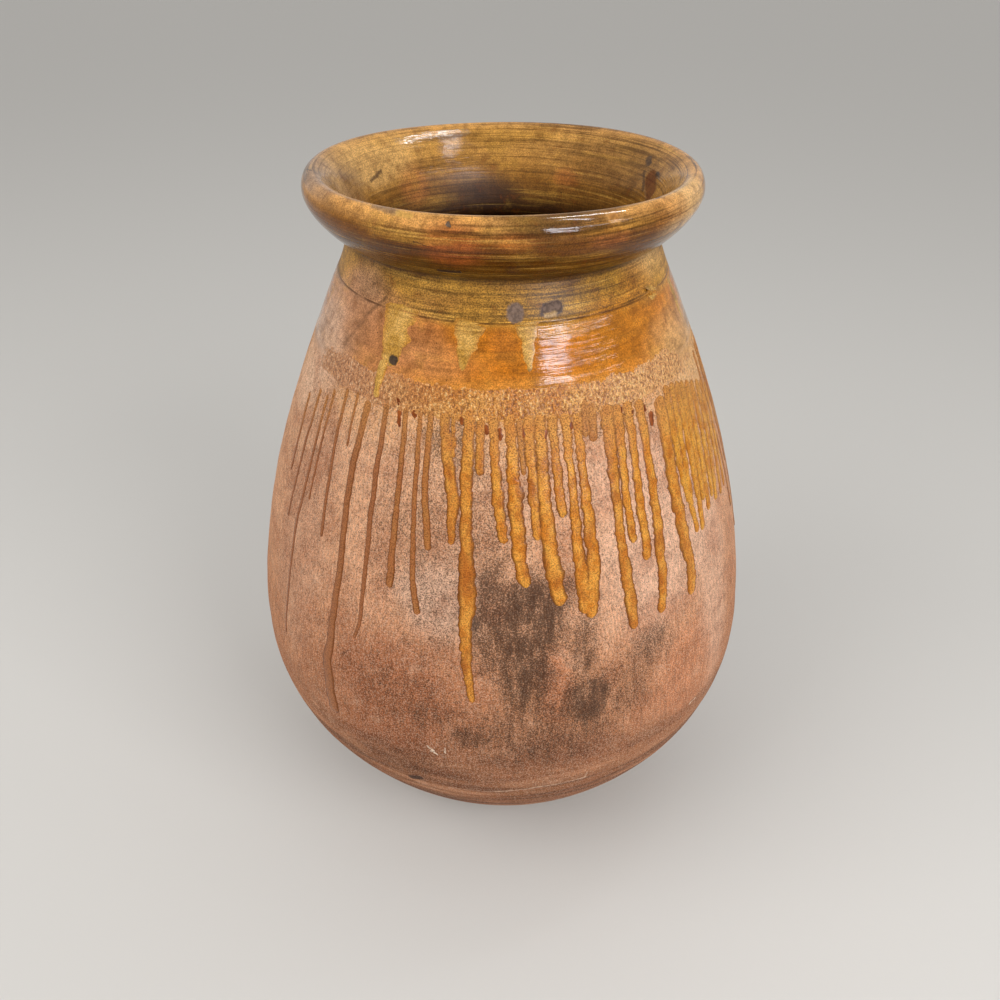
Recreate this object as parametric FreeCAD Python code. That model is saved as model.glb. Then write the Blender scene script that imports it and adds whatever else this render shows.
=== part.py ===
"""A glazed terracotta jar, thrown as one piece of clay.

Millimetres, +Z up. The origin is the centre of the foot, on the floor, and +Z is the jar's axis.
Radii are measured from the axis to the outside of the clay, and heights from the floor. What is
called a drop is measured down from the top of the lip, so a taller jar keeps its neck and rim.
"""
import FreeCAD, Part

import math
import os

JAR_HEIGHT = 806.0

FOOT_RADIUS = 143.0
FOOT_EASE = 5.0
FOOT_RING_WIDTH = 26.0
FOOT_HOLLOW = 4.0

BELLY_RADIUS = 300.0
BELLY_HEIGHT = 276.0

NECK_RADIUS = 160.0
NECK_DROP = 63.5

COLLAR_SPREAD = 13.5
COLLAR_DROP = 99.0
COLLAR_LINE = 1.3

RIM_OVERHANG = 40.0
RIM_DROP = 16.5
LIP_SPREAD = 29.0

WALL = 18.0
FLOOR_THICKNESS = 24.0
WELL_ROUND = 40.0
THROAT_DROP = 88.0

# How far each end of a curve leans out from the vertical, going up, in degrees.
FOOT_LEAN = 32.0
BELLY_LEAN = 0.0
COLLAR_LEAN = -26.0
NECK_LEAN = -16.0
UNDER_RIM_LEAN = 74.0
LIP_LEAN = -90.0

# How long each end of a curve holds its lean, as a share of the way from end to end.
LOWER_FLANK_HOLD = (0.23, 0.40)
UPPER_FLANK_HOLD = (0.355, 0.12)
NECK_HOLD = (0.33, 0.33)
UNDER_RIM_HOLD = (0.23, 0.27)
RIM_TOP_HOLD = (0.36, 0.33)
MOUTH_HOLD = (0.19, 0.33)

# How near an edge's radius and height are to a corner that it passes through.
TOUCH = 0.01
MM3_PER_LITRE = 1e6


def at(radius, height):
    """Return a point of the half section, which lies in the XZ plane."""
    return FreeCAD.Vector(radius, 0, height)


def leaning(lean):
    """Return the unit direction that leans out from +Z by so many degrees."""
    angle = math.radians(lean)
    return FreeCAD.Vector(math.sin(angle), 0, math.cos(angle))


def inside(point, lean):
    """Return the point one wall thickness in from a point of the outside."""
    way = leaning(lean)
    return point + FreeCAD.Vector(-way.z, 0, way.x) * WALL


def curve(start, start_lean, end, end_lean, hold):
    """Return a smooth edge from start to end that leaves and arrives at the given leans."""
    span = start.distanceToPoint(end)
    poles = [
        start,
        start + leaning(start_lean) * hold[0] * span,
        end - leaning(end_lean) * hold[1] * span,
        end,
    ]
    bezier = Part.BezierCurve()
    bezier.setPoles(poles)
    return bezier.toShape()


def line(start, end):
    return Part.LineSegment(start, end).toShape()


def well_corner():
    """Return the corner inside, where the wall would meet the floor if it weren't rounded."""
    inner_foot = inside(at(FOOT_RADIUS, 0), FOOT_LEAN)
    climb = (FLOOR_THICKNESS - inner_foot.z) / leaning(FOOT_LEAN).z
    return inner_foot + leaning(FOOT_LEAN) * climb


def incised_line(collar):
    """Return the round groove that marks the collar, as an arc that dips into the clay."""
    half_width = leaning(COLLAR_LEAN) * COLLAR_LINE
    deepest = collar + (inside(collar, COLLAR_LEAN) - collar) * (COLLAR_LINE / WALL)
    return Part.Arc(collar - half_width, deepest, collar + half_width).toShape()


def underside(foot_edge):
    """Return the edges from the axis to the foot's outer edge: a shallow hollow and a flat ring."""
    ring_inner = FOOT_RADIUS - FOOT_RING_WIDTH
    hollow = Part.BezierCurve()
    hollow.setPoles([at(0, FOOT_HOLLOW), at(ring_inner / 2, FOOT_HOLLOW), at(ring_inner, 0)])
    return [hollow.toShape(), line(at(ring_inner, 0), foot_edge)]


def half_section():
    """Return the closed outline of one side of the jar's wall."""
    foot = at(FOOT_RADIUS, 0)
    belly = at(BELLY_RADIUS, BELLY_HEIGHT)
    collar = at(NECK_RADIUS + COLLAR_SPREAD, JAR_HEIGHT - COLLAR_DROP)
    groove = incised_line(collar)
    groove_low, groove_high = [end.Point for end in groove.Vertexes]
    neck = at(NECK_RADIUS, JAR_HEIGHT - NECK_DROP)
    rim = at(NECK_RADIUS + RIM_OVERHANG, JAR_HEIGHT - RIM_DROP)
    lip = at(NECK_RADIUS + LIP_SPREAD, JAR_HEIGHT)
    throat = at(NECK_RADIUS - WALL, JAR_HEIGHT - THROAT_DROP)
    outside = [
        curve(foot, FOOT_LEAN, belly, BELLY_LEAN, LOWER_FLANK_HOLD),
        curve(belly, BELLY_LEAN, groove_low, COLLAR_LEAN, UPPER_FLANK_HOLD),
        groove,
        curve(groove_high, COLLAR_LEAN, neck, NECK_LEAN, NECK_HOLD),
        curve(neck, UNDER_RIM_LEAN, rim, 0, UNDER_RIM_HOLD),
        curve(rim, 0, lip, LIP_LEAN, RIM_TOP_HOLD),
    ]
    inner_belly = inside(belly, BELLY_LEAN)
    inner_collar = inside(collar, COLLAR_LEAN)
    well = well_corner()
    mouth = [
        curve(lip, LIP_LEAN, throat, 180, MOUTH_HOLD),
        curve(throat, 180, inner_collar, 180 + COLLAR_LEAN, NECK_HOLD),
        curve(inner_collar, 180 + COLLAR_LEAN, inner_belly, 180, UPPER_FLANK_HOLD[::-1]),
        curve(inner_belly, 180, well, 180 + FOOT_LEAN, LOWER_FLANK_HOLD[::-1]),
    ]
    floor = [line(well, at(0, FLOOR_THICKNESS)), line(at(0, FLOOR_THICKNESS), at(0, FOOT_HOLLOW))]
    return Part.Wire(underside(foot) + outside + mouth + floor)


def ring_edges(shape, corner):
    """Return the round edges of a shape that pass through a corner of the half section."""
    return [
        edge for edge in shape.Edges
        if not edge.Degenerated
        and isinstance(edge.Curve, Part.Circle)
        and abs(edge.Curve.Radius - corner.x) < TOUCH
        and abs(edge.Curve.Center.z - corner.z) < TOUCH
    ]


def pot():
    """Return the jar: its half section turned once, and its well and its foot's edge eased."""
    section = Part.Face(half_section())
    jar = section.revolve(at(0, 0), FreeCAD.Vector(0, 0, 1), 360)
    jar = jar.makeFillet(WELL_ROUND, ring_edges(jar, well_corner()))
    return jar.makeFillet(FOOT_EASE, ring_edges(jar, at(FOOT_RADIUS, 0)))


def main():
    os.makedirs("parts", exist_ok=True)
    jar = pot()
    litres = jar.Volume / MM3_PER_LITRE
    print("pot valid", jar.isValid(), "solids", len(jar.Solids), "litres of clay", round(litres, 2))
    jar.exportStep("parts/pot.step")


main()
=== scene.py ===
"""The glazed terracotta jar's looks: thrown clay, fired glaze and its runs, and the smoke on it.

Metres, +Z up, and the jar's axis is the Z axis. A turn is an angle round the jar, measured from
the side that faces the camera (-Y) towards +X. A pixel is a place in the photograph, which is
1000 by 1000 pixels.
"""

import math
import random

import bpy
import numpy as np
from mathutils import Euler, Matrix, Vector, geometry, noise
from mathutils.bvhtree import BVHTree


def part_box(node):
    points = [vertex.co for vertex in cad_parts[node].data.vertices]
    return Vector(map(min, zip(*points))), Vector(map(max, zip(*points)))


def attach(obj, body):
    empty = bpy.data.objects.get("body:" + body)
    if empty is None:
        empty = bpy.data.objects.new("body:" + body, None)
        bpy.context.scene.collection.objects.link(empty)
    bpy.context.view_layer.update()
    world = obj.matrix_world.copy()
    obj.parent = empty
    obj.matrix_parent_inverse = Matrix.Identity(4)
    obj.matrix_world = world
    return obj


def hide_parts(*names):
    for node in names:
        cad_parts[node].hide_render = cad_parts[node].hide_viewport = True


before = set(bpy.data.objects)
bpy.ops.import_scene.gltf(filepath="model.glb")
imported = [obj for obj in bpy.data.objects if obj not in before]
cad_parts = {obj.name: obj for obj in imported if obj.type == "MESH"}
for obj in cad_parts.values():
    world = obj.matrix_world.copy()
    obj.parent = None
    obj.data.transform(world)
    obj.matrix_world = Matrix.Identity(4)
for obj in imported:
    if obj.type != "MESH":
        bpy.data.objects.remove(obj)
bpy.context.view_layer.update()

MM = 0.001
UP = Vector((0, 0, 1))

# The camera, as the jar's outline in the photograph gives it.
IMAGE_CENTRE = 500.0
IMAGE_WIDTH = 1000.0
FOCAL_PIXELS = 880.0
SENSOR_WIDTH = 36.0
CAMERA_PLACE = Vector((0, -0.910, 1.0167))
CAMERA_PITCH_DOWN = 34.13
CAMERA_YAW_LEFT = 0.16
CAMERA_ROLL = 0.22

# The jar's sizes, the same as in the part.
JAR_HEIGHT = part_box("pot")[1].z
BELLY_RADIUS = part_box("pot")[1].x
BELLY_HEIGHT = 0.276
FOOT_RADIUS = 0.143
FOOT_EASE = 0.005
FOOT_RING_WIDTH = 0.026
FOOT_HOLLOW = 0.004
NECK_RADIUS = 0.160
NECK_HEIGHT = JAR_HEIGHT - 0.0635
COLLAR_RADIUS = NECK_RADIUS + 0.0135
COLLAR_HEIGHT = JAR_HEIGHT - 0.099
COLLAR_LINE = 0.0013
RIM_RADIUS = NECK_RADIUS + 0.040
RIM_HEIGHT = JAR_HEIGHT - 0.0165
LIP_RADIUS = NECK_RADIUS + 0.029
THROAT_HEIGHT = JAR_HEIGHT - 0.088
WALL = 0.018
FLOOR_THICKNESS = 0.024
WELL_ROUND = 0.040
FOOT_LEAN = 32
COLLAR_LEAN = -26
NECK_LEAN = -16
UNDER_RIM_LEAN = 74
LIP_LEAN = -90
LOWER_FLANK_HOLD = (0.23, 0.40)
UPPER_FLANK_HOLD = (0.355, 0.12)
EVEN_HOLD = (0.33, 0.33)
UNDER_RIM_HOLD = (0.23, 0.27)
RIM_TOP_HOLD = (0.36, 0.33)
MOUTH_HOLD = (0.19, 0.33)
SPIN_STEPS = 340


def srgb(red, green, blue):
    """Return the linear colour of a colour as it looks on screen, from 0 to 255."""
    linear = [
        part / 12.92 if part <= 0.04045 else ((part + 0.055) / 1.055) ** 2.4
        for part in (red / 255, green / 255, blue / 255)
    ]
    return (*linear, 1.0)


def pick(piece):
    """Make a piece the only selected one, and the active one."""
    bpy.ops.object.select_all(action="DESELECT")
    piece.select_set(True)
    bpy.context.view_layer.objects.active = piece


def new_piece(name, points, edges=(), faces=()):
    """Return a new object with the given mesh, picked."""
    mesh = bpy.data.meshes.new(name)
    mesh.from_pydata([tuple(point) for point in points], edges, faces)
    piece = bpy.data.objects.new(name, mesh)
    bpy.context.collection.objects.link(piece)
    pick(piece)
    return piece


def places_of(piece):
    """Return the places of a piece's points, one row each."""
    places = np.empty(len(piece.data.vertices) * 3)
    piece.data.vertices.foreach_get("co", places)
    return places.reshape(-1, 3)


def set_places(piece, places):
    """Move a piece's points to new places."""
    piece.data.vertices.foreach_set("co", places.ravel())
    piece.data.update()


def set_numbers(piece, name, values):
    """Store one number for each point of a piece, for its material to read."""
    piece.data.attributes.new(name, "FLOAT", "POINT").data.foreach_set("value", values)


def smooth_step(values, low, high):
    """Return 0 below low, 1 above high and a smooth rise between them."""
    share = np.clip((values - low) / (high - low), 0, 1)
    return share * share * (3 - 2 * share)


# The section of the jar

def at(radius, height):
    """Return a point of the section, which lies in the XZ plane."""
    return Vector((radius, 0, height))


def leaning(lean):
    """Return the direction in the section that leans out from +Z by so many degrees."""
    return Vector((math.sin(math.radians(lean)), 0, math.cos(math.radians(lean))))


def inside(point, lean):
    """Return the point one wall thickness in from a point of the outside."""
    way = leaning(lean)
    return point + Vector((-way.z, 0, way.x)) * WALL


def swing(start, start_lean, end, end_lean, hold, steps):
    """Return the points of a smooth stretch that leaves and arrives at the given leans."""
    span = (end - start).length
    leave = start + leaning(start_lean) * hold[0] * span
    arrive = end - leaning(end_lean) * hold[1] * span
    return geometry.interpolate_bezier(start, leave, arrive, end, steps + 1)[:-1]


def eased(corner, lean_in, lean_out, radius, steps):
    """Return the points of a corner that is rounded to a radius."""
    turn = math.radians(abs(lean_out - lean_in))
    cut = radius * math.tan(turn / 2)
    start = corner - leaning(lean_in) * cut
    end = corner + leaning(lean_out) * cut
    return swing(start, lean_in, end, lean_out, EVEN_HOLD, steps) + [end]


def outside_section():
    """Return the outside's points, from the middle of the foot up to the top of the lip."""
    foot = eased(at(FOOT_RADIUS, 0), 90, FOOT_LEAN, FOOT_EASE, 4)
    ring_inner = at(FOOT_RADIUS - FOOT_RING_WIDTH, 0)
    belly = at(BELLY_RADIUS, BELLY_HEIGHT)
    collar = at(COLLAR_RADIUS, COLLAR_HEIGHT)
    groove_low = collar - leaning(COLLAR_LEAN) * COLLAR_LINE
    groove_high = collar + leaning(COLLAR_LEAN) * COLLAR_LINE
    groove_floor = inside(collar, COLLAR_LEAN).lerp(collar, 1 - COLLAR_LINE / WALL)
    neck = at(NECK_RADIUS, NECK_HEIGHT)
    rim = at(RIM_RADIUS, RIM_HEIGHT)
    lip = at(LIP_RADIUS, JAR_HEIGHT)
    return (
        swing(at(0, FOOT_HOLLOW), 90, ring_inner, 94, EVEN_HOLD, 8)
        + [ring_inner, ring_inner.lerp(foot[0], 0.5)]
        + foot[:-1]
        + swing(foot[-1], FOOT_LEAN, belly, 0, LOWER_FLANK_HOLD, 58)
        + swing(belly, 0, groove_low, COLLAR_LEAN, UPPER_FLANK_HOLD, 84)
        + [groove_low, groove_floor]
        + swing(groove_high, COLLAR_LEAN, neck, NECK_LEAN, EVEN_HOLD, 9)
        + swing(neck, UNDER_RIM_LEAN, rim, 0, UNDER_RIM_HOLD, 18)
        + swing(rim, 0, lip, LIP_LEAN, RIM_TOP_HOLD, 9)
    )


def inside_section():
    """Return the inside's points, from the top of the lip down to the middle of the floor."""
    lip = at(LIP_RADIUS, JAR_HEIGHT)
    throat = at(NECK_RADIUS - WALL, THROAT_HEIGHT)
    collar = inside(at(COLLAR_RADIUS, COLLAR_HEIGHT), COLLAR_LEAN)
    belly = inside(at(BELLY_RADIUS, BELLY_HEIGHT), 0)
    inner_foot = inside(at(FOOT_RADIUS, 0), FOOT_LEAN)
    climb = (FLOOR_THICKNESS - inner_foot.z) / leaning(FOOT_LEAN).z
    well = eased(inner_foot + leaning(FOOT_LEAN) * climb, 180 + FOOT_LEAN, 270, WELL_ROUND, 6)
    return (
        swing(lip, LIP_LEAN, throat, 180, MOUTH_HOLD, 24)
        + swing(throat, 180, collar, 180 + COLLAR_LEAN, EVEN_HOLD, 5)
        + swing(collar, 180 + COLLAR_LEAN, belly, 180, UPPER_FLANK_HOLD[::-1], 36)
        + swing(belly, 180, well[0], 180 + FOOT_LEAN, LOWER_FLANK_HOLD[::-1], 18)
        + well
        + [at(well[-1].x * share, FLOOR_THICKNESS) for share in (0.75, 0.5, 0.25, 0)]
    )


def throw_pot():
    """Return the jar as a closed mesh, turned from its section."""
    edges = [(number, number + 1) for number in range(len(section) - 1)]
    pot = new_piece("pot_body", section, edges)
    bpy.ops.object.modifier_add(type="SCREW")
    turning = pot.modifiers["Screw"]
    turning.steps = SPIN_STEPS
    turning.render_steps = SPIN_STEPS
    turning.use_merge_vertices = True
    turning.merge_threshold = 0.02 * MM
    bpy.ops.object.modifier_apply(modifier="Screw")
    bpy.ops.object.mode_set(mode="EDIT")
    bpy.ops.mesh.select_all(action="SELECT")
    bpy.ops.mesh.remove_doubles(threshold=0.02 * MM)
    bpy.ops.mesh.normals_make_consistent(inside=False)
    bpy.ops.object.mode_set(mode="OBJECT")
    bpy.ops.object.shade_smooth()
    return pot


# The camera

def put_camera():
    """Place the camera where the photograph was taken from, and return it."""
    bpy.ops.object.camera_add(location=CAMERA_PLACE)
    camera = bpy.context.object
    camera.data.sensor_width = SENSOR_WIDTH
    camera.data.lens = SENSOR_WIDTH * FOCAL_PIXELS / IMAGE_WIDTH
    roll = Euler((0, 0, math.radians(CAMERA_ROLL))).to_quaternion()
    pitch = Euler((math.radians(90 - CAMERA_PITCH_DOWN), 0, math.radians(CAMERA_YAW_LEFT)))
    camera.rotation_euler = (pitch.to_quaternion() @ roll).to_euler()
    bpy.context.scene.camera = camera
    bpy.context.view_layer.update()
    return camera


# Where things are on the jar

def looking_from_camera(pixel):
    """Return the direction in which a pixel of the photograph looks."""
    ray = Vector((pixel[0] - IMAGE_CENTRE, IMAGE_CENTRE - pixel[1], -FOCAL_PIXELS))
    return (camera.matrix_world.to_3x3() @ ray).normalized()


def seen_at(pixel):
    """Return the place on the jar that a pixel shows, and the way the clay faces there."""
    place, normal, _, _ = surface.ray_cast(CAMERA_PLACE, looking_from_camera(pixel))
    return place, normal


def pixel_size(place):
    """Return how much of the jar one pixel of the photograph spans at a place."""
    middle = looking_from_camera((IMAGE_CENTRE, IMAGE_CENTRE))
    return (place - CAMERA_PLACE).dot(middle) / FOCAL_PIXELS


def pixel_width(pixel):
    """Return how far round the jar one pixel of the photograph reaches at a pixel."""
    place, normal = seen_at(pixel)
    side = UP.cross(normal).normalized()
    return pixel_size(place) / max(abs(side.dot(camera.matrix_world.to_3x3().col[0])), 0.4)


def turn_and_height(pixel):
    """Return the turn and the height of the place on the jar that a pixel shows."""
    place, _ = seen_at(pixel)
    return math.atan2(place.x, -place.y), place.z


def outside_at(turn, height):
    """Return the place on the jar's outside at a turn and a height, and the way it faces."""
    out = Vector((math.sin(turn), -math.cos(turn), 0))
    far = out * 2 * BELLY_RADIUS + Vector((0, 0, height))
    place, normal, _, _ = surface.ray_cast(far, -out)
    return place, normal


# The hand-made unevenness of the clay

def uneven(places, size, seed):
    """Return a smooth random number from -1 to 1 for each place, that changes over a size."""
    shift = Vector((seed * 7.3, seed * 3.1, seed * 5.7))
    return np.array([noise.noise(Vector(place) / size + shift) for place in places])


# How far the thrown clay strays from a true round, and over what size.
OVAL = 1.6 * MM
RIPPLE = 0.45 * MM
RIPPLES_PER_METRE = 55
DENT_DEPTH = 1.3 * MM
DENT_SIZE = 0.16
LOW_FLANK_SHIFT = 3.5 * MM
RIM_WAVE = 0.8 * MM
RIM_RIPPLE = 0.5 * MM
RIM_HIGHEST = 1.5 * MM


def shape_by_hand(pot):
    """Give the spun jar the small faults of one that was thrown: it is off round and rippled."""
    places = places_of(pot)
    radius = np.hypot(places[:, 0], places[:, 1])
    turn = np.arctan2(places[:, 0], -places[:, 1])
    height = places[:, 2]
    standing = smooth_step(height, 0.0, 0.06)
    oval = OVAL * np.cos(2 * turn + 0.7) * smooth_step(height, 0.1, 0.8)
    ripple = uneven(np.stack([np.cos(turn), np.sin(turn), height * RIPPLES_PER_METRE], 1), 1.0, 1)
    dents = uneven(places, DENT_SIZE, 2)
    swell = oval + RIPPLE * ripple + DENT_DEPTH * dents
    grow = 1 + swell * standing / np.maximum(radius, 0.05)
    places[:, 0] *= grow
    places[:, 1] *= grow
    low_down = smooth_step(height, 0.0, 0.05) * (1 - smooth_step(height, 0.12, 0.34))
    places[:, 0] += LOW_FLANK_SHIFT * low_down
    rim = smooth_step(height, 0.76, 0.80)
    places[:, 2] += rim * (RIM_WAVE * np.sin(turn * 3 + 1) + RIM_RIPPLE * ripple)
    places[:, 2] = np.minimum(places[:, 2], JAR_HEIGHT + RIM_HIGHEST)
    set_places(pot, places)


# Glaze that ran

class Run:
    """One run of glaze, as the photograph shows it.

    Its path and its widths are in pixels. Brown is 1 for brown glaze, 0 for amber and -1 for
    golden. Thickness is 1 for a full bead, tucked is how far above its first pixel it starts, and
    blunt is how many of its widths its top takes to round off.
    """

    def __init__(self, path, widths, brown=0.0, thickness=1.0, tucked=9 * MM, blunt=0.4):
        self.path = path
        self.widths = widths
        self.brown = brown
        self.thickness = thickness
        self.tucked = tucked
        self.blunt = blunt


FRONT_RUNS = {
    "far_left_hairline": Run(
        [(326, 403), (306, 483), (296, 525), (290, 574), (286, 632)], [2, 2.5, 2], 1.0),
    "far_left_thread": Run([(308, 400), (298, 440), (291, 470)], [2, 2, 1.6], 1.0),
    "second_far_left_thread": Run([(319, 397), (306, 440), (296, 480), (288, 516)], [2.2, 2, 1.6], 1.0),
    "third_far_left_thread": Run([(333, 398), (322, 440), (314, 475), (309, 500)], [2.2, 2, 1.8], 1.0),
    "left_thread": Run([(346, 397), (336.5, 436), (321, 537)], [3, 3, 3], 1.0),
    "short_left_thread": Run([(357, 400), (351, 425), (347, 447)], [2.4, 2.2, 2], 1.0),
    "long_left": Run(
        [(367, 410), (352, 468), (340, 570), (330.4, 638), (327.3, 662), (330.4, 687), (335, 712)],
        [5.5, 6, 6, 6, 7, 10, 11], 0.95),
    "second_long_left": Run(
        [(387, 405), (375.6, 475), (365.6, 570), (360, 623), (353.4, 638)],
        [5, 5.2, 4.6, 3.2], 1.0),
    "split_left": Run([(405.4, 413), (398.5, 491), (393, 544), (389.3, 588)], [5, 5.2, 6.4, 7.6], 0.85),
    "thin_middle_left": Run(
        [(420, 416), (414.6, 498), (412.3, 578), (417, 615)], [4.8, 4.8, 5.2, 6.8], 0.85),
    "short_middle_left": Run([(430.7, 419), (424.5, 483), (428.4, 551)], [6, 6.5, 7], 0.75),
    "wide_amber_left": Run(
        [(443.7, 422), (449.8, 475), (453.6, 498), (451, 545)], [9, 11, 13, 6], 0.25),
    "beside_amber_left": Run([(453.6, 420), (453, 458)], [5, 4], 0.2),
    "longest": Run(
        [(469.7, 418), (466, 483), (466.6, 570), (468, 601), (465, 626), (466.6, 670), (473, 703)],
        [11, 11.5, 12, 12.5, 18, 13, 10, 7], 0.15),
    "short_beside_longest": Run([(480.4, 422), (479.7, 476)], [8, 8], 0.3),
    "left_of_pair": Run([(492.4, 425), (497.4, 496), (504, 544)], [11, 8, 12, 9], 0.1),
    "first_of_pair": Run(
        [(510, 423), (515.6, 504), (520, 562), (527, 588)], [11, 10, 14, 14, 14, 12]),
    "first_between": Run([(519, 424), (524, 476)], [7, 6, 5], 0.6),
    "second_between": Run([(528, 424), (533, 488), (538, 541)], [12, 10, 10, 9], 0.1),
    "second_of_pair": Run([(540, 424), (544, 496), (552, 562), (561, 606)], [12, 11, 13, 15, 17, 13]),
    "after_pair": Run([(552, 423), (560, 496), (563, 518)], [10, 8, 10, 9], 0.1),
    "joined_left": Run([(565, 422), (573, 493), (578, 546), (587, 614)], [10, 8, 9, 14, 15]),
    "joined_right": Run([(577, 422), (586, 496), (594, 562), (592, 618)], [10, 8, 12, 14, 12]),
    "short_orange": Run([(586, 408), (586, 437)], [10, 9], 0.6),
    "shorter_orange": Run([(593, 412), (593.6, 442)], [8, 8], 0.6),
    "long_right": Run(
        [(607, 413), (614, 479), (622.6, 554), (627.6, 579), (631, 604), (635, 629)],
        [14, 12, 10, 9, 9, 11, 13, 9], 0.15),
    "right_beside": Run([(618, 414), (626, 496), (634, 543)], [10, 9, 8, 8]),
    "right_second": Run([(629, 410), (639, 496), (648, 560)], [10, 8, 9, 9]),
    "right_third": Run([(640, 409), (654, 496), (663, 579), (661.6, 613)], [10, 8, 10, 10, 9]),
    "last_right": Run(
        [(661, 405), (674, 488), (686, 546), (692, 571), (690.6, 595)],
        [12, 12, 12, 11, 9], -0.2),
    "comb_1": Run([(667, 394), (681, 470), (698, 532)], [7, 7, 7, 6, 5], -1),
    "comb_2": Run([(673, 391), (684, 455), (692, 508)], [6, 6.5, 6, 5], -1),
    "comb_3": Run([(678, 390), (690, 450), (703, 530)], [6, 6.5, 7, 6, 5], -1),
    "comb_4": Run([(683, 389), (694, 445), (704, 500)], [6, 6.5, 6, 5], -1),
    "comb_5": Run([(688, 388), (700, 450), (709, 510)], [5.5, 6, 6, 4], -1),
    "comb_6": Run([(693, 388), (704, 440), (712, 497)], [5, 5.5, 5, 4], -1),
    "comb_7": Run([(698, 387), (708, 436), (716, 500)], [5, 5, 5, 4], -1),
    "comb_8": Run([(702, 387), (712, 435), (721, 494)], [4.5, 5, 4.5, 3], -1),
    "comb_9": Run([(706, 388), (716, 440), (724, 486)], [4, 4, 4, 3], -1),
}


# A bead's thin edges melt into what lies under them, so it is laid this much wider than it looks.
RUN_FULLNESS = 1.1


def smoothed(values):
    """Return a line of numbers with its corners softened, and its two ends where they were."""
    reach = 4
    padded = np.pad(values, reach, mode="reflect", reflect_type="odd")
    return np.convolve(padded, np.full(2 * reach + 1, 1 / (2 * reach + 1)), mode="valid")


def drift(seed, ways, side):
    """Return a smooth random number from -1 to 1 for each step down a bead."""
    return np.array([noise.noise(Vector((seed, way, side))) for way in ways])


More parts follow.
